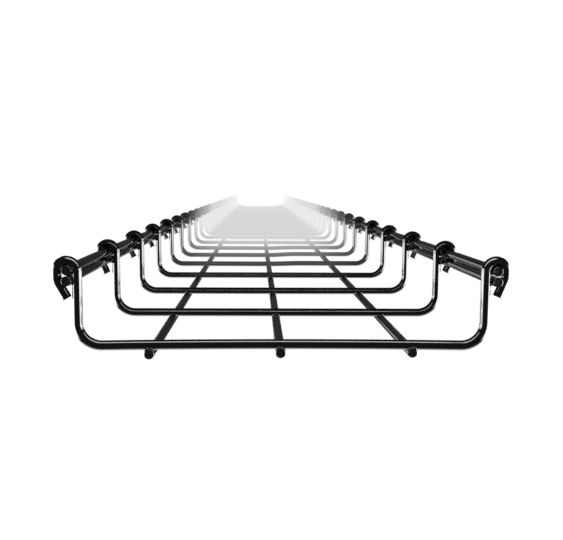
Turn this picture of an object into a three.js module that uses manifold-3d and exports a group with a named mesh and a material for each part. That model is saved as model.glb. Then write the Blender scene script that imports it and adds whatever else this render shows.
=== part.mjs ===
// Wire-mesh cable tray, one 3 m length, in millimetres with +Z up.
//
// X runs across the tray, Y along it. The origin is on the ground, under the
// middle of the tray. Every wire is a separate solid in its own mesh:
//   cross_wire_01 to _31    U-shaped wires, each with both ends hooked outwards
//   *_rail_wire             two stacked edge wires a side, lying in the hooks
//   *_floor_wire            three wires under the cross wires, on the ground
// Round wire is drawn as a prism. Where a weld sinks one wire into another, the
// long wire is notched, with a small gap, so that no two solids touch.

import * as THREE from 'three';
import { mergeVertices } from 'three/addons/utils/BufferGeometryUtils.js';
import Module from 'manifold-3d';

const wasm = await Module();
wasm.setup();

// Driving dimensions
const TRAY_LENGTH = 3000;
const CROSS_WIRE_COUNT = 31;
const END_OVERHANG = 3;          // long wires past the middle of an end cross wire
const WIRE_DIAMETER = 5;
const LEG_SPACING = 195;         // between the centre lines of a cross wire's legs
const SIDE_HEIGHT = 41;          // from the cross wire's floor to its hook top
const FLOOR_BEND_RADIUS = 11.5;  // all bend radii are to the wire's centre line
const HOOK_RADIUS = 5.05;
const TAIL_ANGLE = 26;           // degrees that the tail turns in under the rails
const TAIL_BEND_DROP = 5.9;      // from the hook's centre down to the tail's bend
const TAIL_BEND_INSET = 1.0;     // how far the bend has turned in by then
const TAIL_DROP = 12.9;          // from the hook's centre down to the tail's tip
const FLOOR_WIRE_SPACING = 62.5;
const RAIL_SPACING = 5;          // between the upper and the lower rail wire
const WELD_SET_DOWN = 1.1;       // how far a weld sinks a floor wire
const WELD_GAP = 0.3;            // kept where one wire is notched for another

// Roundness of the drawn wire and bends
const WIRE_SIDES = 8;
const RAIL_SIDES = 12;
const FLOOR_BEND_STEPS = 4;
const HOOK_STEPS = 6;

const WIRE_RADIUS = WIRE_DIAMETER / 2;
// A regular prism with the same section area as the round wire
const WIRE_CORNER_RADIUS = WIRE_RADIUS * Math.sqrt(
  2 * Math.PI / (WIRE_SIDES * Math.sin(2 * Math.PI / WIRE_SIDES)));
const WIRE_FLAT_RADIUS = WIRE_CORNER_RADIUS * Math.cos(Math.PI / WIRE_SIDES);

const FLOOR_WIRE_Z = WIRE_FLAT_RADIUS;
const CROSS_FLOOR_Z = FLOOR_WIRE_Z + WIRE_DIAMETER - WELD_SET_DOWN;
const LEG_X = LEG_SPACING / 2;
const HOOK_CENTRE_X = LEG_X + HOOK_RADIUS;
const HOOK_CENTRE_Z = CROSS_FLOOR_Z + SIDE_HEIGHT - HOOK_RADIUS;
const LOWER_RAIL_Z = HOOK_CENTRE_Z - RAIL_SPACING;
const CROSS_WIRE_PITCH = (TRAY_LENGTH - 2 * END_OVERHANG) / (CROSS_WIRE_COUNT - 1);

const COATED_STEEL = { color: 0x111113, roughness: 0.28, metalness: 0 };

// A path through given stations, each with a place and a direction of travel.
// Its parameter counts stations, so a sweep puts one section at each of them.
class StationPath extends THREE.Curve {
  constructor(stations) {
    super();
    this.stations = stations;
  }

  stationAt(u) {
    const last = this.stations.length - 1;
    return this.stations[Math.min(last, Math.max(0, Math.round(u * last)))];
  }

  getPointAt(u, target = new THREE.Vector3()) {
    return target.copy(this.stationAt(u).point);
  }

  getTangentAt(u, target = new THREE.Vector3()) {
    return target.copy(this.stationAt(u).direction);
  }
}

function station(x, z, heading) {
  return {
    point: new THREE.Vector3(x, 0, z),
    direction: new THREE.Vector3(Math.cos(heading), 0, Math.sin(heading)),
  };
}

// Stations round an arc. The wire heads along the arc, so a left turn has its
// centre to the left of the heading.
function arcStations(centreX, centreZ, radius, fromHeading, toHeading, steps) {
  const leftTurn = Math.sign(toHeading - fromHeading);
  const stations = [];
  for (let step = 0; step <= steps; step += 1) {
    const heading = THREE.MathUtils.lerp(fromHeading, toHeading, step / steps);
    const x = centreX + leftTurn * radius * Math.sin(heading);
    const z = centreZ - leftTurn * radius * Math.cos(heading);
    stations.push(station(x, z, heading));
  }
  return stations;
}

// The hook's outer end: it turns in under the rails and is cut square.
function tailStations() {
  const tailHeading = -Math.PI / 2 - THREE.MathUtils.degToRad(TAIL_ANGLE);
  const bendX = HOOK_CENTRE_X + HOOK_RADIUS - TAIL_BEND_INSET;
  const straightDrop = TAIL_DROP - TAIL_BEND_DROP;
  const tipX = bendX - straightDrop * Math.tan(THREE.MathUtils.degToRad(TAIL_ANGLE));
  return [
    station(bendX, HOOK_CENTRE_Z - TAIL_BEND_DROP, tailHeading),
    station(tipX, HOOK_CENTRE_Z - TAIL_DROP, tailHeading),
  ];
}

// Centre line of the right-hand half of a cross wire, from its floor to its tip
function rightHalfStations() {
  return [
    ...arcStations(LEG_X - FLOOR_BEND_RADIUS, CROSS_FLOOR_Z + FLOOR_BEND_RADIUS,
      FLOOR_BEND_RADIUS, 0, Math.PI / 2, FLOOR_BEND_STEPS),
    ...arcStations(HOOK_CENTRE_X, HOOK_CENTRE_Z,
      HOOK_RADIUS, Math.PI / 2, -Math.PI / 2, HOOK_STEPS),
    ...tailStations(),
  ];
}

// The same stations on the left, in the order that leads on to the right half
function leftHalfStations() {
  return rightHalfStations().reverse().map(({ point, direction }) => ({
    point: new THREE.Vector3(-point.x, 0, point.z),
    direction: new THREE.Vector3(direction.x, 0, -direction.z),
  }));
}

// A regular polygon with flats facing along both axes
function polygonShape(sides, cornerRadius) {
  const shape = new THREE.Shape();
  for (let side = 0; side < sides; side += 1) {
    const angle = (side + 0.5) * 2 * Math.PI / sides;
    const x = cornerRadius * Math.cos(angle);
    const y = cornerRadius * Math.sin(angle);
    if (side === 0) {
      shape.moveTo(x, y);
    } else {
      shape.lineTo(x, y);
    }
  }
  shape.closePath();
  return shape;
}

function sweptWire(stations, cornerRadius) {
  return new THREE.ExtrudeGeometry(polygonShape(WIRE_SIDES, cornerRadius), {
    steps: stations.length - 1,
    extrudePath: new StationPath(stations),
    bevelEnabled: false,
  });
}

// A straight prism along Y, centred on the origin
function longWire(sides, cornerRadius) {
  const prism = new THREE.ExtrudeGeometry(polygonShape(sides, cornerRadius), {
    depth: TRAY_LENGTH,
    bevelEnabled: false,
  });
  return prism.translate(0, 0, -TRAY_LENGTH / 2).rotateX(Math.PI / 2);
}

function toSolid(geometry) {
  const positions = geometry.clone();
  positions.deleteAttribute('normal');
  positions.deleteAttribute('uv');
  const merged = mergeVertices(positions);
  return new wasm.Manifold(new wasm.Mesh({
    numProp: 3,
    vertProperties: new Float32Array(merged.attributes.position.array),
    triVerts: new Uint32Array(merged.index.array),
  }));
}

function toGeometry(solid) {
  const mesh = solid.getMesh();
  const geometry = new THREE.BufferGeometry();
  geometry.setAttribute('position', new THREE.BufferAttribute(mesh.vertProperties, 3));
  geometry.setIndex(new THREE.BufferAttribute(mesh.triVerts, 1));
  geometry.computeVertexNormals();
  return geometry;
}

function crossWireY(index) {
  return END_OVERHANG - TRAY_LENGTH / 2 + index * CROSS_WIRE_PITCH;
}

// Cuts the wire at every cross wire with one cutter, made at Y = 0
function notchAtCrossWires(wireGeometry, cutterGeometry) {
  const cutter = toSolid(cutterGeometry);
  let wire = toSolid(wireGeometry);
  for (let index = 0; index < CROSS_WIRE_COUNT; index += 1) {
    wire = wire.subtract(cutter.translate([0, crossWireY(index), 0]));
  }
  return toGeometry(wire);
}

// The weld gap around a cross wire, as a grown corner radius
const NOTCH_CORNER_RADIUS = WIRE_CORNER_RADIUS
  + WELD_GAP / Math.cos(Math.PI / WIRE_SIDES);

// A floor wire about its own centre line, notched for the cross wires above it
function floorWireGeometry() {
  const height = CROSS_FLOOR_Z - FLOOR_WIRE_Z;
  const cutter = sweptWire([
    station(-WIRE_DIAMETER, height, 0),
    station(WIRE_DIAMETER, height, 0),
  ], NOTCH_CORNER_RADIUS);
  return notchAtCrossWires(longWire(WIRE_SIDES, WIRE_CORNER_RADIUS), cutter);
}

// The upper rail wire about its own centre line. Its corners lie on the round
// wire's surface, so that it clears the hooks around it.
function upperRailGeometry() {
  return longWire(RAIL_SIDES, WIRE_RADIUS);
}

// The right-hand lower rail wire, in place, notched for the tails beside it
function lowerRightRailGeometry() {
  const rail = longWire(RAIL_SIDES, WIRE_RADIUS);
  rail.translate(HOOK_CENTRE_X, 0, LOWER_RAIL_Z);
  const outerLeg = station(HOOK_CENTRE_X + HOOK_RADIUS, HOOK_CENTRE_Z, -Math.PI / 2);
  const cutter = sweptWire([outerLeg, ...tailStations()], NOTCH_CORNER_RADIUS);
  return notchAtCrossWires(rail, cutter);
}

function wireMesh(name, geometry) {
  const mesh = new THREE.Mesh(geometry, new THREE.MeshStandardMaterial(COATED_STEEL));
  mesh.name = name;
  return mesh;
}

function addCrossWires(tray) {
  const stations = [...leftHalfStations(), ...rightHalfStations()];
  const geometry = sweptWire(stations, WIRE_CORNER_RADIUS);
  for (let index = 0; index < CROSS_WIRE_COUNT; index += 1) {
    const number = String(index + 1).padStart(2, '0');
    const wire = wireMesh(`cross_wire_${number}`, geometry);
    wire.position.y = crossWireY(index);
    tray.add(wire);
  }
}

function addFloorWires(tray) {
  const geometry = floorWireGeometry();
  const placeX = {
    left_floor_wire: -FLOOR_WIRE_SPACING,
    middle_floor_wire: 0,
    right_floor_wire: FLOOR_WIRE_SPACING,
  };
  for (const [name, x] of Object.entries(placeX)) {
    const wire = wireMesh(name, geometry);
    wire.position.set(x, 0, FLOOR_WIRE_Z);
    tray.add(wire);
  }
}

function addRailWires(tray) {
  const upper = upperRailGeometry();
  const lowerRight = lowerRightRailGeometry();
  // Half a turn about Z puts the same wire on the left side
  const turnZ = { right: 0, left: Math.PI };
  for (const [side, turn] of Object.entries(turnZ)) {
    const sideGroup = new THREE.Group();
    sideGroup.rotation.z = turn;
    const upperRail = wireMesh(`${side}_upper_rail_wire`, upper);
    upperRail.position.set(HOOK_CENTRE_X, 0, HOOK_CENTRE_Z);
    sideGroup.add(upperRail, wireMesh(`${side}_lower_rail_wire`, lowerRight));
    tray.add(sideGroup);
  }
}

const tray = new THREE.Group();
addFloorWires(tray);
addCrossWires(tray);
addRailWires(tray);

export default tray;
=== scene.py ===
# Wire-mesh cable tray, 3 m long: its looks, built round the imported CAD model.
#
# Metres, +Z up. X runs across the tray and Y along it. The origin is on the
# ground under the middle of the tray, and the camera looks along +Y at its near end.
#
# Every CAD wire is replaced by a fine round tube along the same path, with cut
# ends, and every weld gets a rim of flash. The studio has softboxes round the near
# end, and a glowing card on the lens that paints a haze of white light over the tray, thicker
# with distance.

import math
import random

import bpy
from mathutils import Euler, Matrix, Vector, noise


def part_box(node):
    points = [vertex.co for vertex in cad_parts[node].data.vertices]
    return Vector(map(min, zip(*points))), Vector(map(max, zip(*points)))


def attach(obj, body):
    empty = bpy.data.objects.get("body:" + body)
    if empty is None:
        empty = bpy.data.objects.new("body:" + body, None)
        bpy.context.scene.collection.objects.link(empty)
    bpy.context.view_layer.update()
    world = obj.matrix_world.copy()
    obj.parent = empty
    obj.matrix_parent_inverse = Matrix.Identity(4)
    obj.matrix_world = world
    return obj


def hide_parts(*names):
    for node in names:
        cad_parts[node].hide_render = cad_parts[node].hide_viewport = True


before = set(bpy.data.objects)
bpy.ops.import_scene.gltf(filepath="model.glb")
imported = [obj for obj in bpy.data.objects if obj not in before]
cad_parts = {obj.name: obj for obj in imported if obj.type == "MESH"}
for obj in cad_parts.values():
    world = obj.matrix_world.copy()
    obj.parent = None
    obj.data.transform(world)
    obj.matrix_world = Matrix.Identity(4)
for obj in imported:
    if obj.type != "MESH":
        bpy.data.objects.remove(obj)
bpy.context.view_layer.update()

MM = 0.001
ACROSS = Vector((1, 0, 0))
ALONG = Vector((0, 1, 0))
UP = Vector((0, 0, 1))

# The drawn wire, and how the tray is bent from it
WIRE_RADIUS = 2.42 * MM
LEG_X = 96.9 * MM                # from the tray's middle to a leg's centre line
FLOOR_BEND_RADIUS = 11.3 * MM    # bend radii are to the wire's centre line
HOOK_RADIUS = 4.75 * MM
TAIL_BEND_RADIUS = 7.0 * MM

# A sheared end: its rounded edge, the burr pushed out to one side, and the shallow
# dish in its face. The dish's middle and rings are in shares of its depth, and the
# rings have a share of the wire's radius too.
CUT_EDGE = 0.35 * MM
CUT_EDGE_STEPS = 4
CUT_BURR = 0.06 * MM
DISH_DEPTH = (0.08, 0.2)         # least and most, in millimetres
DISH_MIDDLE = 1.2
DISH_RINGS = [(1.0, 0.35), (0.4, 0.7)]

# How finely a wire is drawn: sides round it, and steps along each stretch
RING_SIDES = 24
FLOOR_STEPS = 18
FLOOR_BEND_STEPS = 14
LEG_STEPS = 6
HOOK_STEPS = 22
TAIL_START_STEPS = 2
TAIL_BEND_STEPS = 6
TAIL_STEPS = 4
LONG_WIRE_STEP = 12.0 * MM

CROSS_WIRES = sorted(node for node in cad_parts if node.startswith("cross_wire_"))
FLOOR_WIRES = ["left_floor_wire", "middle_floor_wire", "right_floor_wire"]
RAIL_WIRES = [
    "left_upper_rail_wire",
    "left_lower_rail_wire",
    "right_upper_rail_wire",
    "right_lower_rail_wire",
]
LONG_WIRES = FLOOR_WIRES + RAIL_WIRES

# Where welding has left each long wire: its shift across the tray, its lift, how
# far its near end droops and how far that end is pulled across, in millimetres
WELDED_SHIFT = {
    "left_floor_wire": (-0.4, 0.35, 0.3, -0.4),
    "middle_floor_wire": (-0.8, 0.6, 0.0, 0.0),
    "right_floor_wire": (0.0, 0.6, 0.0, 0.0),
    "left_upper_rail_wire": (0.8, 0.9, 0.95, 0.35),
    "left_lower_rail_wire": (0.7, 0.7, 0.75, 0.25),
    "right_upper_rail_wire": (-0.7, 0.65, 0.65, 0.6),
    "right_lower_rail_wire": (-0.7, 0.5, 0.5, 0.6),
}
DROOP_LENGTH = 60 * MM           # how fast the droop dies away from the end
PULL_LENGTH = 25 * MM            # and the pull

# The slow wander of a long wire: how long its waves are, and how high
WANDER_ACROSS = (0.3, 0.2 * MM)
WANDER_IN_HEIGHT = (0.35, 0.15 * MM)
WANDER_ROW = 7.3                 # how far apart in the noise two seeds lie
WANDER_SLICE = 1.7               # the slice of the noise that they all lie in

# Seeds: the first of each kind of wire, and what is added for a wander in height
CROSS_WIRE_SEED = 100
LONG_WIRE_SEED = 200
HEIGHT_SEED = 50


# ---------------------------------------------------------------- frame places

def box_middle(node):
    low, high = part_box(node)
    return (low + high) / 2


def cross_wire_place(node):
    """Its place along the tray, and its floor's and its hooks' centre-line heights."""
    low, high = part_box(node)
    flat_radius = (high.y - low.y) / 2
    return (low.y + high.y) / 2, low.z + flat_radius, high.z - flat_radius


FIRST_Y, FLOOR_Z, _ = cross_wire_place(CROSS_WIRES[0])
TRAY_END_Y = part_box(FLOOR_WIRES[0])[1].y


# ---------------------------------------------------------------- paths

class BentPath:
    """The centre line of a bent wire in the XZ plane, drawn as it would be bent."""

    def __init__(self):
        self.x = 0.0
        self.z = 0.0
        self.heading = 0.0
        self.points = [(0.0, 0.0)]

    def straight(self, length, steps):
        for _ in range(steps):
            self.x += length / steps * math.cos(self.heading)
            self.z += length / steps * math.sin(self.heading)
            self.points.append((self.x, self.z))

    def bend(self, radius, degrees, steps):
        """Bends left for positive degrees and right for negative ones."""
        side = math.copysign(1.0, degrees)
        centre_x = self.x - side * radius * math.sin(self.heading)
        centre_z = self.z + side * radius * math.cos(self.heading)
        for _ in range(steps):
            self.heading += math.radians(degrees) / steps
            self.x = centre_x + side * radius * math.sin(self.heading)
            self.z = centre_z - side * radius * math.cos(self.heading)
            self.points.append((self.x, self.z))


def half_cross_wire(hook, side_height):
    """One half of a cross wire, from the middle of its floor out to its tail's tip."""
    path = BentPath()
    path.straight(hook["leg_x"] - FLOOR_BEND_RADIUS, FLOOR_STEPS)
    path.bend(FLOOR_BEND_RADIUS, 90, FLOOR_BEND_STEPS)
    path.straight(side_height - FLOOR_BEND_RADIUS - HOOK_RADIUS, LEG_STEPS)
    path.bend(HOOK_RADIUS, -180, HOOK_STEPS)
    path.straight(hook["tail_start"], TAIL_START_STEPS)
    path.bend(TAIL_BEND_RADIUS, -hook["tail_angle"], TAIL_BEND_STEPS)
    path.straight(hook["tail_length"], TAIL_STEPS)
    return path.points


def smooth_wave(seed, place, length, size):
    """A slow, seeded wander, as left in wire by straightening rolls."""
    return size * noise.noise(Vector((place / length, WANDER_ROW * seed, WANDER_SLICE)))


def smooth_rise(share):
    """0 below 0 and 1 above 1, with a smooth rise between them."""
    share = min(1.0, max(0.0, share))
    return share * share * (3 - 2 * share)


# ---------------------------------------------------------------- tubes

def path_frames(points, side):
    """For each point, the path's direction and two square to it, the first near side."""
    frames = []
    for index in range(len(points)):
        before = points[max(index - 1, 0)]
        after = points[min(index + 1, len(points) - 1)]
        along = (after - before).normalized()
        across = (side - side.dot(along) * along).normalized()
        frames.append((along, across, along.cross(across)))
    return frames


def distances_along(points):
    distances = [0.0]
    for before, after in zip(points, points[1:]):
        distances.append(distances[-1] + (after - before).length)
    return distances


def piece_from_mesh(name, mesh, materials):
    """Gives a mesh its materials and smooth faces, and puts it in the scene."""
    mesh.polygons.foreach_set("use_smooth", [True] * len(mesh.polygons))
    for material in materials:
        mesh.materials.append(material)
    mesh.update()
    piece = bpy.data.objects.new(name, mesh)
    bpy.context.scene.collection.objects.link(piece)
    return piece


class TubeMesh:
    """Collects rings of vertices into one closed tube with UVs along and round it."""

    def __init__(self):
        self.vertices = []
        self.faces = []
        self.uvs = []
        self.end_faces = []

    def ring(self, centre, across, up, radius_at):
        first = len(self.vertices)
        for side in range(RING_SIDES):
            angle = 2 * math.pi * side / RING_SIDES
            offset = math.cos(angle) * across + math.sin(angle) * up
            self.vertices.append(centre + radius_at(angle) * offset)
        return first

    def join(self, ring_a, ring_b, along_a, along_b, is_end=False):
        for side in range(RING_SIDES):
            after = (side + 1) % RING_SIDES
            self.faces.append((ring_a + side, ring_a + after, ring_b + after, ring_b + side))
            self.uvs.extend([
                (along_a, side / RING_SIDES),
                (along_a, (side + 1) / RING_SIDES),
                (along_b, (side + 1) / RING_SIDES),
                (along_b, side / RING_SIDES),
            ])
            self.end_faces.append(is_end)

    def close(self, ring, centre, along, outward):
        """Fans a ring in to one point. outward is True where the ring ends the tube."""
        middle = len(self.vertices)
        self.vertices.append(centre)
        for side in range(RING_SIDES):
            after = (side + 1) % RING_SIDES
            pair = (ring + side, ring + after) if outward else (ring + after, ring + side)
            self.faces.append((*pair, middle))
            self.uvs.extend([(along, 0.0), (along, 0.5), (along, 1.0)])
            self.end_faces.append(True)

    def to_object(self, name, materials):
        mesh = bpy.data.meshes.new(name)
        mesh.from_pydata(self.vertices, [], self.faces)
        layer = mesh.uv_layers.new(name="wire")
        flat = [value for uv in self.uvs for value in uv]
        layer.data.foreach_set("uv", flat)
        mesh.polygons.foreach_set("material_index", [int(end) for end in self.end_faces])
        return piece_from_mesh(name, mesh, materials)


def full_radius(_angle):
    return WIRE_RADIUS


def cut_end_rings(rng):
    """A sheared face: how deep its dish is, and its rings out to the full wire.

    Each ring is how far it stands back from the end, and its radius.
    """
    dish = rng.uniform(*DISH_DEPTH) * MM
    rings = [(depth * dish, share * WIRE_RADIUS) for depth, share in DISH_RINGS]
    for step in range(CUT_EDGE_STEPS + 1):
        angle = math.radians(90 * step / CUT_EDGE_STEPS)
        inset = CUT_EDGE * (1 - math.cos(angle))
        radius = WIRE_RADIUS - CUT_EDGE * (1 - math.sin(angle))
        rings.append((inset, radius))
    return dish, rings


def add_end(tube, place, frame_here, facing, rng):
    """A cut end's rings, from its middle out. facing is -1 at the start and +1 at the end."""
    along, across, up = frame_here
    dish, rings = cut_end_rings(rng)
    burr_turn = rng.uniform(0, 2 * math.pi)
    made = []
    for inset, radius in rings:
        centre = place - facing * inset * along
        burr = CUT_BURR * min(1.0, radius / WIRE_RADIUS)
        made.append(tube.ring(centre, across, up,
                              lambda angle: radius + burr * math.cos(angle - burr_turn)))
    middle = place - facing * DISH_MIDDLE * dish * along
    return made, middle


def sweep_wire(name, points, side, materials, rng):
    """A closed round tube along the points, with sheared ends."""
    frames = path_frames(points, side)
    distances = distances_along(points)
    tube = TubeMesh()
    start_rings, start_middle = add_end(tube, points[0], frames[0], -1, rng)
    tube.close(start_rings[0], start_middle, 0.0, outward=False)
    for inner, outer in zip(start_rings, start_rings[1:]):
        tube.join(inner, outer, 0.0, 0.0, is_end=True)
    last_ring = start_rings[-1]
    for index in range(1, len(points) - 1):
        _, across, up = frames[index]
        ring = tube.ring(points[index], across, up, full_radius)
        tube.join(last_ring, ring, distances[index - 1], distances[index])
        last_ring = ring
    length = distances[-1]
    end_rings, end_middle = add_end(tube, points[-1], frames[-1], 1, rng)
    tube.join(last_ring, end_rings[-1], distances[-2], length)
    for outer, inner in zip(end_rings[::-1], end_rings[-2::-1]):
        tube.join(outer, inner, length, length, is_end=True)
    tube.close(end_rings[0], end_middle, length, outward=True)
    return tube.to_object(name, materials)


# ---------------------------------------------------------------- cross wires

# The first cross wire, at the open end, is knocked a little out of shape
FIRST_CROSS_WIRE = {
    "left": {"leg_x": 97.05 * MM, "raise": -0.7 * MM, "tail_angle": 30,
             "tail_length": 7.7 * MM, "tail_start": 3.0 * MM},
    "right": {"leg_x": 97.5 * MM, "raise": -0.3 * MM, "tail_angle": 22,
              "tail_length": 8.5 * MM, "tail_start": 2.0 * MM},
    "bow": 0.8 * MM,
    "drop": -0.3 * MM,
    "turn": 0.0,
    "right_lift": 0.0,
}

# A few others, given by index, have the right half of their floor bent up a little
RIGHT_LIFT = {4: 0.7 * MM, 5: 1.3 * MM, 6: 0.9 * MM}
KINK_WIDTH = 30 * MM


def random_hook(rng):
    """One side of a cross wire, from its leg up, with a tail cut and bent by eye."""
    return {
        "leg_x": LEG_X,
        "raise": rng.uniform(0.15, 0.6) * MM,
        "tail_angle": rng.uniform(22, 30),
        "tail_length": rng.uniform(7.2, 8.4) * MM,
        "tail_start": rng.uniform(2.0, 3.0) * MM,
    }


def cross_wire_shape(index, rng):
    """The small differences that bending and welding leave between cross wires."""
    if index == 0:
        return FIRST_CROSS_WIRE
    return {
        "left": random_hook(rng),
        "right": random_hook(rng),
        "bow": rng.uniform(-0.15, 0.35) * MM,
        "drop": rng.uniform(-0.5, -0.2) * MM,
        "turn": rng.uniform(-0.5, 0.5) * MM,
        "right_lift": RIGHT_LIFT.get(index, 0.0),
    }


def cross_wire_points(index, rng):
    place_y, floor_z, hook_top_z = cross_wire_place(CROSS_WIRES[index])
    side_height = hook_top_z - floor_z
    shape = cross_wire_shape(index, rng)
    halves = {}
    for side in ("left", "right"):
        raised = side_height + shape[side]["raise"] - shape["drop"]
        halves[side] = half_cross_wire(shape[side], raised)
    outline = [(-x, z) for x, z in reversed(halves["left"])]
    outline += halves["right"][1:]
    points = []
    for x, z in outline:
        bow = shape["bow"] * max(0.0, 1 - (x / LEG_X) ** 2)
        y = place_y + shape["turn"] * x / LEG_X
        lift = shape["right_lift"] * smooth_rise(x / KINK_WIDTH) * (1 - z / side_height)
        points.append(Vector((x, y, floor_z + z + shape["drop"] + bow + lift)))
    return points


def build_cross_wires(materials):
    pieces = []
    for index, node in enumerate(CROSS_WIRES):
        rng = random.Random(CROSS_WIRE_SEED + index)
        points = cross_wire_points(index, rng)
        piece = sweep_wire(f"{node}_drawn", points, ALONG, materials, rng)
        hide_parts(node)
        pieces.append(piece)
    return pieces


# ---------------------------------------------------------------- long wires

def long_wire_points(node, seed):
    middle = box_middle(node)
    steps = round(2 * TRAY_END_Y / LONG_WIRE_STEP)
    shift, lift, droop, pull = (MM * value for value in WELDED_SHIFT[node])
    points = []
    for step in range(steps + 1):
        y = -TRAY_END_Y + 2 * TRAY_END_Y * step / steps
        from_end = y + TRAY_END_Y
        sag = droop * math.exp(-from_end / DROOP_LENGTH)
        aside = shift + pull * math.exp(-from_end / PULL_LENGTH)
        x = middle.x + aside + smooth_wave(seed, y, *WANDER_ACROSS)
        z = middle.z + lift - sag + smooth_wave(seed + HEIGHT_SEED, y, *WANDER_IN_HEIGHT)
        points.append(Vector((x, y, z)))
    return points


def build_long_wires(materials):
    pieces = []
    for seed, node in enumerate(LONG_WIRES):
        rng = random.Random(LONG_WIRE_SEED + seed)
        piece = sweep_wire(f"{node}_drawn", long_wire_points(node, seed), ACROSS,
                           materials, rng)
        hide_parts(node)
        pieces.append(piece)
    return pieces


def point_beside(points, y):
    """The point of a long wire at a place along the tray."""
    index = next(index for index, point in enumerate(points) if point.y >= y)
    before = points[index - 1]
    after = points[index]
    return before.lerp(after, (y - before.y) / (after.y - before.y))


# ---------------------------------------------------------------- welds

FLASH_STEPS = 28                 # sections round a weld
FLASH_SIDES = 8                  # sides of each section
FLASH_LIMIT = 0.97 * WIRE_RADIUS     # keeps a section off the wires' outer edges
FLOOR_FLASH_SIZE = 1.0           # scales the thickness of the floor wires' flash,
RAIL_FLASH_SIZE = 0.25           # and of the rails'

# How far out a section lies and how thick it is, in millimetres: on its own, then
# what the corners between the wires add, and then what the noises add
FLASH_REACH = 2.2
FLASH_REACH_CORNER = 0.3
FLASH_REACH_LUMP = 0.15
FLASH_THICKNESS = 0.2
FLASH_THICKNESS_CORNER = 0.5
FLASH_THICKNESS_LUMP = 0.25
FLASH_THICKNESS_FINE = 0.1

# The noises round a rim. Two have a scale, and how far apart in the noise two seeds
# lie. The ripple has a step round the rim, one round a section, and one by seed.
LUMP_NOISE = (1.3, 3.1)
FINE_NOISE = (3.1, 5.7)
RIPPLE_NOISE = (0.9, 0.8, 1.9)
RIPPLE_SIZE = 0.22               # a share of the thickness


def noise_round(angle, kind, seed):
    scale, seed_step = kind
    return noise.noise(Vector((math.cos(angle) * scale, math.sin(angle) * scale,
                               seed * seed_step)))


def flash_section(angle, spacing, size, seed):
    """Where a rim's section lies, by its angle round the stacking axis.

    Returns how far out it is, how far along the axis, and how thick. It lies in
    the saddle between the two wires and is thickest in the corners.
    """
    corner = abs(math.sin(2 * angle))
    lump = noise_round(angle, LUMP_NOISE, seed)
    fine = noise_round(angle, FINE_NOISE, seed)
    reach = (FLASH_REACH + FLASH_REACH_CORNER * corner + FLASH_REACH_LUMP * lump) * MM
    thickness = (FLASH_THICKNESS + FLASH_THICKNESS_CORNER * corner ** 2
                 + FLASH_THICKNESS_LUMP * lump + FLASH_THICKNESS_FINE * fine)
    over = min(abs(reach * math.cos(angle)), FLASH_LIMIT)
    under = min(abs(reach * math.sin(angle)), FLASH_LIMIT)
    low = math.sqrt(WIRE_RADIUS ** 2 - over ** 2)
    high = spacing - math.sqrt(WIRE_RADIUS ** 2 - under ** 2)
    return reach, (low + high) / 2, size * max(FLASH_THICKNESS, thickness) * MM


def flash_ripple(step, side, seed):
    """How a rim's thickness varies round each section and from one to the next."""
    rim_step, side_step, seed_step = RIPPLE_NOISE
    place = Vector((step * rim_step, side * side_step, seed * seed_step))
    return 1 + RIPPLE_SIZE * noise.noise(place)


class FlashMesh:
    """Collects the rims of squeezed-out metal at one long wire's crossings."""

    def __init__(self):
        self.vertices = []
        self.faces = []

    def add_rim(self, centre, cross_axis, stack_axis, spacing, size, seed):
        """A lumpy rim round one crossing.

        The long wire runs along Y through centre. cross_axis is the cross wire's
        direction, whose centre line lies spacing further on along stack_axis.
        """
        first = len(self.vertices)
        for step in range(FLASH_STEPS):
            angle = 2 * math.pi * step / FLASH_STEPS
            reach, height, thickness = flash_section(angle, spacing, size, seed)
            outward = math.cos(angle) * cross_axis + math.sin(angle) * ALONG
            middle = centre + reach * outward + height * stack_axis
            for side in range(FLASH_SIDES):
                turn = 2 * math.pi * side / FLASH_SIDES
                offset = math.cos(turn) * outward + math.sin(turn) * stack_axis
                ripple = flash_ripple(step, side, seed)
                self.vertices.append(middle + thickness * ripple * offset)
        for step in range(FLASH_STEPS):
            here = first + step * FLASH_SIDES
            there = first + (step + 1) % FLASH_STEPS * FLASH_SIDES
            for side in range(FLASH_SIDES):
                after = (side + 1) % FLASH_SIDES
                self.faces.append((here + side, there + side, there + after, here + after))

    def add_rail_weld(self, centre, seed):
        """Between a rail and the leg beside it."""
        leg_x = math.copysign(LEG_X, centre.x)
        toward_leg = Vector((math.copysign(1.0, leg_x - centre.x), 0, 0))
        self.add_rim(centre, UP, toward_leg, abs(leg_x - centre.x), RAIL_FLASH_SIZE, seed)

    def add_floor_weld(self, centre, cross_points, seed):
        """Between a floor wire and the cross wire over it."""
        above = min(cross_points, key=lambda point: abs(point.x - centre.x)
                    + abs(point.z - FLOOR_Z))
        self.add_rim(centre, ACROSS, UP, above.z - centre.z, FLOOR_FLASH_SIZE, seed)

    def to_object(self, name, material):
        mesh = bpy.data.meshes.new(name)
        mesh.from_pydata(self.vertices, [], self.faces)
        return piece_from_mesh(name, mesh, [material])


def build_welds(material):
    """One piece of flash for each long wire, with a rim at every cross wire."""
    cross_wires = [cross_wire_points(index, random.Random(CROSS_WIRE_SEED + index))
                   for index in range(len(CROSS_WIRES))]
    pieces = []
    for number, node in enumerate(LONG_WIRES):
        points = long_wire_points(node, number)
        flash = FlashMesh()
        for index, cross_points in enumerate(cross_wires):
            centre = point_beside(points, cross_wire_place(CROSS_WIRES[index])[0])
            seed = len(CROSS_WIRES) * number + index
            if node in RAIL_WIRES:
                flash.add_rail_weld(centre, seed)
            else:
                flash.add_floor_weld(centre, cross_points, seed)
        pieces.append(flash.to_object(f"{node}_weld_flash", material))
    return pieces


# ---------------------------------------------------------------- nodes

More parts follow.
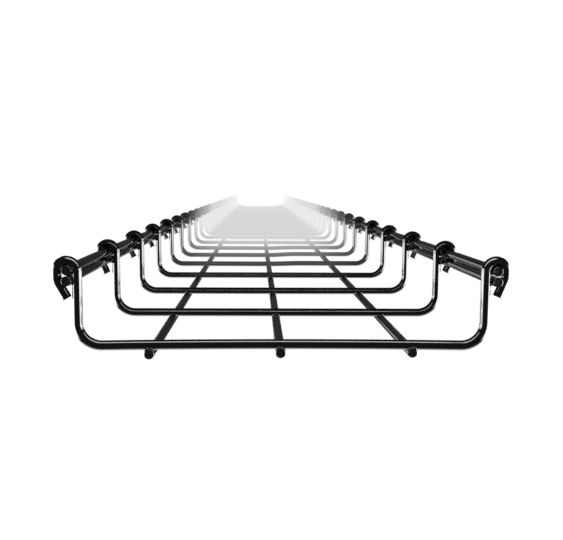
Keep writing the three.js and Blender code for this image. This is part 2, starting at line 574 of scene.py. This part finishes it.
def node_material(name):
    """A material whose nodes are cleared down to its output."""
    material = bpy.data.materials.new(name)
    material.use_nodes = True
    tree = material.node_tree
    tree.nodes.clear()
    return material, tree, tree.nodes.new("ShaderNodeOutputMaterial")


def coat_material(name):
    """A material with a Principled shader, ready for its inputs."""
    material, tree, output = node_material(name)
    shader = tree.nodes.new("ShaderNodeBsdfPrincipled")
    tree.links.new(shader.outputs["BSDF"], output.inputs["Surface"])
    return material, tree, shader


def plug(tree, value, socket):
    """Feeds an input with a number or from another node's socket."""
    if isinstance(value, (int, float)):
        socket.default_value = value
    else:
        tree.links.new(value, socket)


def math_node(tree, operation, first, second=None):
    """A Math node. Each input is a socket or a number."""
    node = tree.nodes.new("ShaderNodeMath")
    node.operation = operation
    plug(tree, first, node.inputs[0])
    if second is not None:
        plug(tree, second, node.inputs[1])
    return node.outputs[0]


def map_range(tree, value, ends, results=(0.0, 1.0), shape="LINEAR"):
    """Turns a value at the two ends into the two results, with no step between them."""
    node = tree.nodes.new("ShaderNodeMapRange")
    node.interpolation_type = shape
    tree.links.new(value, node.inputs["Value"])
    node.inputs["From Min"].default_value, node.inputs["From Max"].default_value = ends
    node.inputs["To Min"].default_value, node.inputs["To Max"].default_value = results
    return node.outputs["Result"]


def soft_step(tree, value, low, high):
    """0 at low and 1 at high, with a smooth rise between them."""
    return map_range(tree, value, (low, high), shape="SMOOTHSTEP")


def blend(tree, share, first, second):
    """first where share is 0 and second where it is 1."""
    change = math_node(tree, "SUBTRACT", second, first)
    return math_node(tree, "ADD", math_node(tree, "MULTIPLY", share, change), first)


def noise_node(tree, vector, scale, detail=2.0, roughness=0.5):
    node = tree.nodes.new("ShaderNodeTexNoise")
    node.inputs["Scale"].default_value = scale
    node.inputs["Detail"].default_value = detail
    node.inputs["Roughness"].default_value = roughness
    tree.links.new(vector, node.inputs["Vector"])
    return node.outputs["Fac"]


def grey_ramp(tree, value, stops, blue=1.0):
    """A ramp of greys, through stops of place and grey. blue tints them."""
    node = tree.nodes.new("ShaderNodeValToRGB")
    tree.links.new(value, node.inputs["Fac"])
    elements = node.color_ramp.elements
    while len(elements) < len(stops):
        elements.new(0.5)
    for element, (place, grey) in zip(elements, stops):
        element.position = place
        element.color = (grey, grey, grey * blue, 1)
    return node.outputs["Color"]


def add_bump(tree, height, distance, strength=1.0, normal=None):
    node = tree.nodes.new("ShaderNodeBump")
    node.inputs["Distance"].default_value = distance
    node.inputs["Strength"].default_value = strength
    tree.links.new(height, node.inputs["Height"])
    if normal is not None:
        tree.links.new(normal, node.inputs["Normal"])
    return node.outputs["Normal"]


def object_coordinates(tree):
    return tree.nodes.new("ShaderNodeTexCoord").outputs["Object"]


def split_vector(tree, vector):
    split = tree.nodes.new("ShaderNodeSeparateXYZ")
    tree.links.new(vector, split.inputs[0])
    return split.outputs["X"], split.outputs["Y"], split.outputs["Z"]


def surface_place(tree):
    """X, Y and Z of the place where a ray meets the surface."""
    return split_vector(tree, tree.nodes.new("ShaderNodeNewGeometry").outputs["Position"])


def round_wire_coordinates(tree, along_scale):
    """Coordinates that run round the wire without a seam, stretched along it."""
    uv = tree.nodes.new("ShaderNodeUVMap")
    uv.uv_map = "wire"
    along, around, _ = split_vector(tree, uv.outputs["UV"])
    turn = math_node(tree, "MULTIPLY", around, 2 * math.pi)
    join = tree.nodes.new("ShaderNodeCombineXYZ")
    tree.links.new(math_node(tree, "MULTIPLY", along, along_scale), join.inputs["X"])
    tree.links.new(math_node(tree, "COSINE", turn), join.inputs["Y"])
    tree.links.new(math_node(tree, "SINE", turn), join.inputs["Z"])
    return join.outputs[0]


# ---------------------------------------------------------------- materials

COAT_BLUE = 1.03                 # the black's faint blue cast
COAT_IOR = 1.5
NOISE_SPREAD = (0.3, 0.7)        # where nearly all of a noise's values lie

# The gloss coat: streaks along the wire, blotches, orange peel and scuffs. A list of
# greys has stops, each a noise's value and the grey there.
STREAK_STRETCH = 9.0             # how many wire radii a metre of its length counts as
STREAK_SCALE = 4.0
STREAK_DEPTH = 0.03 * MM
BLOTCH_SCALE = 45.0
PEEL_SCALE = 900.0
PEEL_DEPTH = 0.004 * MM
COAT_BUMP = 0.3
SCUFF_SCALE = 260.0
SCUFF_SPREAD = (0.62, 0.75)
SCUFF_ROUGHNESS = (0.0, 0.08)    # added where it is scuffed
COAT_ROUGHNESS = (0.07, 0.13)
COAT_GREYS = [(0.3, 0.0035), (0.7, 0.0075)]
BLOTCH_SHARE = 0.6               # of the coat's shade. The streaks have the rest.

# The cut ends
TORN_SCALE = 1300.0
TORN_DEPTH = 0.03 * MM
TORN_ROUGHNESS = (0.16, 0.3)
TORN_GREYS = [(0.35, 0.003), (0.7, 0.012)]

# The weld flash
LUMP_SCALE = 800.0
LUMP_DEPTH = 0.04 * MM
LUMP_ROUGHNESS = (0.25, 0.45)
LUMP_GREYS = [(0.35, 0.004), (0.7, 0.012)]


def gloss_coat_material():
    """Gloss black coat that still shows the drawing lines of the wire under it."""
    material, tree, shader = coat_material("gloss_black_coat")
    place = object_coordinates(tree)
    streaks = noise_node(tree, round_wire_coordinates(tree, STREAK_STRETCH), STREAK_SCALE)
    peel = noise_node(tree, place, PEEL_SCALE)
    blotches = noise_node(tree, place, BLOTCH_SCALE, detail=3.0)
    scuffs = noise_node(tree, place, SCUFF_SCALE, detail=5.0, roughness=0.7)
    shade = math_node(tree, "ADD", math_node(tree, "MULTIPLY", blotches, BLOTCH_SHARE),
                      math_node(tree, "MULTIPLY", streaks, 1 - BLOTCH_SHARE))
    tree.links.new(grey_ramp(tree, shade, COAT_GREYS, COAT_BLUE), shader.inputs["Base Color"])
    base_roughness = map_range(tree, streaks, NOISE_SPREAD, COAT_ROUGHNESS)
    scuff_roughness = map_range(tree, scuffs, SCUFF_SPREAD, SCUFF_ROUGHNESS)
    tree.links.new(math_node(tree, "ADD", base_roughness, scuff_roughness),
                   shader.inputs["Roughness"])
    shader.inputs["IOR"].default_value = COAT_IOR
    lines = add_bump(tree, streaks, STREAK_DEPTH, COAT_BUMP)
    tree.links.new(add_bump(tree, peel, PEEL_DEPTH, COAT_BUMP, lines),
                   shader.inputs["Normal"])
    return material


def cut_end_material():
    """The sheared end of a wire under a thinner coat, torn and slightly rough."""
    material, tree, shader = coat_material("coated_cut_end")
    torn = noise_node(tree, object_coordinates(tree), TORN_SCALE, detail=5.0, roughness=0.65)
    tree.links.new(grey_ramp(tree, torn, TORN_GREYS, COAT_BLUE), shader.inputs["Base Color"])
    tree.links.new(map_range(tree, torn, NOISE_SPREAD, TORN_ROUGHNESS),
                   shader.inputs["Roughness"])
    tree.links.new(add_bump(tree, torn, TORN_DEPTH), shader.inputs["Normal"])
    return material


def weld_flash_material():
    """Coated weld metal, lumpy and duller than the wire."""
    material, tree, shader = coat_material("coated_weld_flash")
    lumps = noise_node(tree, object_coordinates(tree), LUMP_SCALE)
    tree.links.new(grey_ramp(tree, lumps, LUMP_GREYS, COAT_BLUE), shader.inputs["Base Color"])
    tree.links.new(map_range(tree, lumps, NOISE_SPREAD, LUMP_ROUGHNESS),
                   shader.inputs["Roughness"])
    shader.inputs["IOR"].default_value = COAT_IOR
    tree.links.new(add_bump(tree, lumps, LUMP_DEPTH), shader.inputs["Normal"])
    return material


# ---------------------------------------------------------------- camera and floor

# The camera's place is measured from the first cross wire's floor centre line
CAMERA_X = -11.9 * MM
CAMERA_BACK = 364.6 * MM
CAMERA_UP = 75.1 * MM
CAMERA_PITCH = 6.085             # degrees down
CAMERA_YAW = 1.778               # degrees to the right
CAMERA_ROLL = 0.358              # degrees anticlockwise
SENSOR_WIDTH = 36.0              # this and the lens are in millimetres
LENS = 49.45

STUDIO_FLOOR_Z = -0.35
STUDIO_HALF_SIZE = 6.0
STUDIO_WHITE = 1.0


def add_camera():
    data = bpy.data.cameras.new("camera")
    data.lens = LENS
    data.sensor_width = SENSOR_WIDTH
    data.clip_start = 0.01
    data.clip_end = 20.0
    camera = bpy.data.objects.new("camera", data)
    turn = Euler((math.radians(90 - CAMERA_PITCH), 0, -math.radians(CAMERA_YAW))).to_matrix()
    roll = Matrix.Rotation(math.radians(CAMERA_ROLL), 3, "Z")
    place = Vector((CAMERA_X, FIRST_Y - CAMERA_BACK, FLOOR_Z + CAMERA_UP))
    camera.matrix_world = Matrix.Translation(place) @ (turn @ roll).to_4x4()
    bpy.context.scene.collection.objects.link(camera)
    bpy.context.scene.camera = camera
    return place


def emit(tree, output, strength):
    """Makes a material a light source. strength is a socket or a number."""
    emission = tree.nodes.new("ShaderNodeEmission")
    plug(tree, strength, emission.inputs["Strength"])
    tree.links.new(emission.outputs[0], output.inputs["Surface"])


def flat_sheet(name, corners, material, is_light):
    """A flat part of the studio. A light shows only in reflections, the rest only directly."""
    mesh = bpy.data.meshes.new(name)
    mesh.from_pydata(corners, [], [tuple(range(len(corners)))])
    mesh.materials.append(material)
    sheet = bpy.data.objects.new(name, mesh)
    bpy.context.scene.collection.objects.link(sheet)
    sheet.visible_camera = not is_light
    sheet.visible_glossy = is_light
    sheet.visible_diffuse = False
    sheet.visible_shadow = False


def level_corners(half_width, start, end, z):
    """The corners of a level rectangle over or under the tray's middle."""
    return [(-half_width, start, z), (half_width, start, z),
            (half_width, end, z), (-half_width, end, z)]


def add_floor():
    half = STUDIO_HALF_SIZE
    material, tree, output = node_material("studio_white")
    emit(tree, output, STUDIO_WHITE)
    flat_sheet("studio_floor", level_corners(half, -half, half, STUDIO_FLOOR_Z), material,
               is_light=False)


# ---------------------------------------------------------------- lights

# The side softboxes: which side, and where each starts and ends along the tray
SIDE_SOFTBOXES = {
    "left_softbox": (-1, -1.65, -0.54),
    "right_softbox": (1, -1.72, -0.7),
}
SIDE_SOFTBOX_X = 0.35
SIDE_SOFTBOX_LOW_Z = -0.22
SIDE_SOFTBOX_HIGH_Z = 0.14
SIDE_SOFTBOX_RADIANCE = (22.0, 10.0)   # at its near end, and further on,
SIDE_SOFTBOX_FALL = (-1.45, -1.15)     # with the fall between these places
NEAR_EDGE = 0.045                # how wide the softbox fades out at its near end,
FAR_EDGE = 0.18                  # at its far end,
LOW_EDGE = 0.14                  # at its bottom
HIGH_EDGE = 0.08                 # and at its top

# The top softbox hangs low, just before the first cross wire
TOP_SOFTBOX_Z = 0.12
TOP_SOFTBOX_Y = (-1.553, -1.508)
TOP_SOFTBOX_HALF_WIDTH = 0.13
TOP_SOFTBOX_EDGE = 0.03
TOP_SOFTBOX_RADIANCE = 12.0

# A large dim card far down the left, for the right-hand rails to reflect
FAR_CARD_PLACE = Vector((-1.42, 2.0, -0.35))
FAR_CARD_TARGET = Vector((-1.42, -1.0, -0.35))
FAR_CARD_SIZE = (1.35, 1.3)
FAR_CARD_RADIANCE = 1.5

# The world in reflections: dim behind the camera, dimmer ahead of it, and glowing
# low down ahead. Each change lies between two values of a direction's Z or Y.
GLOW = 3.5
GLOW_RISE_Z = (-0.55, -0.8)
GLOW_RISE_Y = (-0.15, 0.1)
DIM = (0.14, 0.07)
DIM_FALL_Y = (-0.2, 0.4)


def side_softbox_material(name, start, end):
    """Emission that falls along the softbox and fades out towards its four edges."""
    material, tree, output = node_material(name)
    _, y, z = surface_place(tree)
    low_z = SIDE_SOFTBOX_LOW_Z
    high_z = SIDE_SOFTBOX_HIGH_Z
    along = math_node(tree, "MULTIPLY", soft_step(tree, y, start, start + NEAR_EDGE),
                      soft_step(tree, y, end, end - FAR_EDGE))
    up = math_node(tree, "MULTIPLY", soft_step(tree, z, low_z, low_z + LOW_EDGE),
                   soft_step(tree, z, high_z, high_z - HIGH_EDGE))
    radiance = map_range(tree, y, SIDE_SOFTBOX_FALL, SIDE_SOFTBOX_RADIANCE)
    emit(tree, output, math_node(tree, "MULTIPLY", math_node(tree, "MULTIPLY", along, up),
                                 radiance))
    return material


def add_side_softbox(name, side, start, end):
    x = side * SIDE_SOFTBOX_X
    corners = [(x, start, SIDE_SOFTBOX_LOW_Z), (x, end, SIDE_SOFTBOX_LOW_Z),
               (x, end, SIDE_SOFTBOX_HIGH_Z), (x, start, SIDE_SOFTBOX_HIGH_Z)]
    flat_sheet(name, corners, side_softbox_material(name, start, end), is_light=True)


def add_top_softbox():
    """It lights the floors of the nearest cross wires, and fades before the hooks."""
    half = TOP_SOFTBOX_HALF_WIDTH
    corners = level_corners(half, *TOP_SOFTBOX_Y, TOP_SOFTBOX_Z)
    material, tree, output = node_material("top_softbox")
    x, _, _ = surface_place(tree)
    inside = soft_step(tree, math_node(tree, "ABSOLUTE", x), half, half - TOP_SOFTBOX_EDGE)
    emit(tree, output, math_node(tree, "MULTIPLY", inside, TOP_SOFTBOX_RADIANCE))
    flat_sheet("top_softbox", corners, material, is_light=True)


def add_far_card():
    width, height = FAR_CARD_SIZE
    data = bpy.data.lights.new("far_left_card", "AREA")
    data.shape = "RECTANGLE"
    data.size = width
    data.size_y = height
    data.energy = FAR_CARD_RADIANCE * math.pi * width * height
    card = bpy.data.objects.new("far_left_card", data)
    card.location = FAR_CARD_PLACE
    card.rotation_mode = "QUATERNION"
    card.rotation_quaternion = (FAR_CARD_TARGET - FAR_CARD_PLACE).to_track_quat("-Z", "Y")
    card.visible_camera = False
    card.visible_diffuse = False
    bpy.context.scene.collection.objects.link(card)


def light_world():
    """White where the camera sees it directly, and mostly dark in reflections."""
    world = bpy.data.worlds.new("studio")
    world.use_nodes = True
    bpy.context.scene.world = world
    tree = world.node_tree
    tree.nodes.clear()
    output = tree.nodes.new("ShaderNodeOutputWorld")
    _, y, z = split_vector(tree, tree.nodes.new("ShaderNodeTexCoord").outputs["Generated"])
    low = map_range(tree, z, GLOW_RISE_Z)
    ahead = map_range(tree, y, GLOW_RISE_Y)
    glow = math_node(tree, "MULTIPLY", math_node(tree, "MULTIPLY", low, ahead), GLOW)
    reflected = math_node(tree, "ADD", glow, map_range(tree, y, DIM_FALL_Y, DIM))
    seen = tree.nodes.new("ShaderNodeLightPath").outputs["Is Camera Ray"]
    background = tree.nodes.new("ShaderNodeBackground")
    background.inputs["Color"].default_value = (1, 1, 1, 1)
    tree.links.new(blend(tree, seen, reflected, STUDIO_WHITE), background.inputs["Strength"])
    tree.links.new(background.outputs[0], output.inputs["Surface"])


# ---------------------------------------------------------------- painted haze card

HAZE_CARD_DISTANCE = 0.12
HAZE_CARD_HALF_WIDTH = 0.06
HAZE_CARD_SIGHT = 0.3               # it shows only to a camera nearer than this

# The tray's inside seen from the lens: how far its planes lie from the lens axis
LEFT_REACH = 0.0862
RIGHT_REACH = 0.1105
FLOOR_REACH = 0.0772
BEND_POWER = 6.0                 # how squarely the filter turns from floor to sides
LEAST_SHARE = 0.001              # keeps the share aside, a divisor, off zero

# Each stop is a distance from the lens along the tray, how much the painted haze
# covers the inside and the rails there, and the grey of that painted light over the
# floor and over the sides
PAINTED_HAZE_STOPS = [
    (0.66, 0.0, 0.0, 1.0, 1.0),
    (0.764, 0.04, 0.0, 1.0, 1.0),
    (0.864, 0.10, 0.01, 1.0, 1.0),
    (0.963, 0.29, 0.03, 1.0, 1.0),
    (1.063, 0.50, 0.12, 1.0, 1.0),
    (1.14, 0.62, 0.26, 1.0, 1.0),
    (1.20, 0.93, 0.33, 0.70, 0.84),
    (1.33, 0.93, 0.45, 0.71, 0.85),
    (1.47, 0.94, 0.66, 0.72, 0.85),
    (2.4, 0.95, 0.80, 0.73, 0.87),
    (3.1, 0.96, 0.90, 0.76, 0.92),
    (3.36, 1.0, 1.0, 1.0, 1.0),
]
INSIDE_COVER, RAIL_COVER, HAZE_FLOOR_GREY, HAZE_SIDE_GREY = 1, 2, 3, 4

# How far down a sight line points, over how far aside, both as shares of the
# tray's reaches: where the rails begin over the sides, and the floor under them
RAIL_ZONE = (0.64, 0.54)
FLOOR_ZONE = (0.9, 1.15)


def painted_haze_ramp(tree, distance, column):
    """One column of the painted haze stops, looked up by distance."""
    first = PAINTED_HAZE_STOPS[0][0]
    span = PAINTED_HAZE_STOPS[-1][0] - first
    share = math_node(tree, "DIVIDE", math_node(tree, "SUBTRACT", distance, first), span)
    return grey_ramp(tree, share, [((stop[0] - first) / span, stop[column])
                                   for stop in PAINTED_HAZE_STOPS])


def sight_line_shares(tree, centre):
    """A sight line's slopes to the side and down, as shares of the tray's reaches."""
    x, _, z = surface_place(tree)
    right = math_node(tree, "SUBTRACT", x, centre.x)
    left = math_node(tree, "SUBTRACT", centre.x, x)
    down = math_node(tree, "SUBTRACT", centre.z, z)
    aside = math_node(tree, "MAXIMUM",
                      math_node(tree, "DIVIDE", right, RIGHT_REACH * HAZE_CARD_DISTANCE),
                      math_node(tree, "DIVIDE", left, LEFT_REACH * HAZE_CARD_DISTANCE))
    aside = math_node(tree, "MAXIMUM", aside, LEAST_SHARE)
    down = math_node(tree, "MAXIMUM",
                     math_node(tree, "DIVIDE", down, FLOOR_REACH * HAZE_CARD_DISTANCE), 0.0)
    return aside, down


def sight_distance(tree, aside, down):
    """How far along the tray a sight line meets its inside."""
    terms = [math_node(tree, "POWER", share, BEND_POWER) for share in (aside, down)]
    slope = math_node(tree, "POWER", math_node(tree, "ADD", *terms), 1 / BEND_POWER)
    return math_node(tree, "DIVIDE", 1.0, slope)


def painted_haze_over_tray(tree, centre):
    """How much the painted haze covers, and how bright that painted light is there."""
    aside, down = sight_line_shares(tree, centre)
    slope = math_node(tree, "DIVIDE", down, aside)
    in_rails = soft_step(tree, slope, *RAIL_ZONE)
    on_floor = soft_step(tree, slope, *FLOOR_ZONE)
    distance = sight_distance(tree, aside, down)
    cover = blend(tree, in_rails, painted_haze_ramp(tree, distance, INSIDE_COVER),
                  painted_haze_ramp(tree, distance, RAIL_COVER))
    bright = blend(tree, on_floor, painted_haze_ramp(tree, distance, HAZE_SIDE_GREY),
                   painted_haze_ramp(tree, distance, HAZE_FLOOR_GREY))
    return cover, blend(tree, in_rails, bright, STUDIO_WHITE)


# A glowing card seen only by the camera: it paints a haze of white and grey light over the
# tray, thicker with distance, and white over the hooks and rails.
def painted_haze_material(centre):
    material, tree, output = node_material("painted_haze_veil")
    cover, bright = painted_haze_over_tray(tree, centre)
    path = tree.nodes.new("ShaderNodeLightPath")
    near = math_node(tree, "LESS_THAN", path.outputs["Ray Length"], HAZE_CARD_SIGHT)
    seen = math_node(tree, "MULTIPLY", path.outputs["Is Camera Ray"], near)
    clear = tree.nodes.new("ShaderNodeBsdfTransparent")
    glow = tree.nodes.new("ShaderNodeEmission")
    tree.links.new(bright, glow.inputs["Strength"])
    mix = tree.nodes.new("ShaderNodeMixShader")
    tree.links.new(math_node(tree, "MULTIPLY", cover, seen), mix.inputs["Fac"])
    tree.links.new(clear.outputs[0], mix.inputs[1])
    tree.links.new(glow.outputs[0], mix.inputs[2])
    tree.links.new(mix.outputs[0], output.inputs["Surface"])
    return material


def add_painted_haze_sheet(camera_place):
    """A glowing card just in front of the lens, lined up with the tray, that paints light over
    it.

    It paints a haze of white light over the tray's inside, thicker with distance, and over the
    hooks and rails later.
    """
    centre = camera_place + HAZE_CARD_DISTANCE * ALONG
    half = HAZE_CARD_HALF_WIDTH
    corners = [centre + Vector((x, 0, z)) for x, z in
               ((-half, -half), (half, -half), (half, half), (-half, half))]
    flat_sheet("painted_haze_sheet", corners, painted_haze_material(centre), is_light=False)


# ---------------------------------------------------------------- assembly

def build_pieces():
    wire_materials = [gloss_coat_material(), cut_end_material()]
    pieces = build_cross_wires(wire_materials) + build_long_wires(wire_materials)
    pieces += build_welds(weld_flash_material())
    for piece in pieces:
        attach(piece, "root")


def build_studio():
    add_floor()
    for name, (side, start, end) in SIDE_SOFTBOXES.items():
        add_side_softbox(name, side, start, end)
    add_top_softbox()
    add_far_card()
    light_world()
    add_painted_haze_sheet(add_camera())
    bpy.context.scene.view_settings.view_transform = "Standard"


build_pieces()
build_studio()
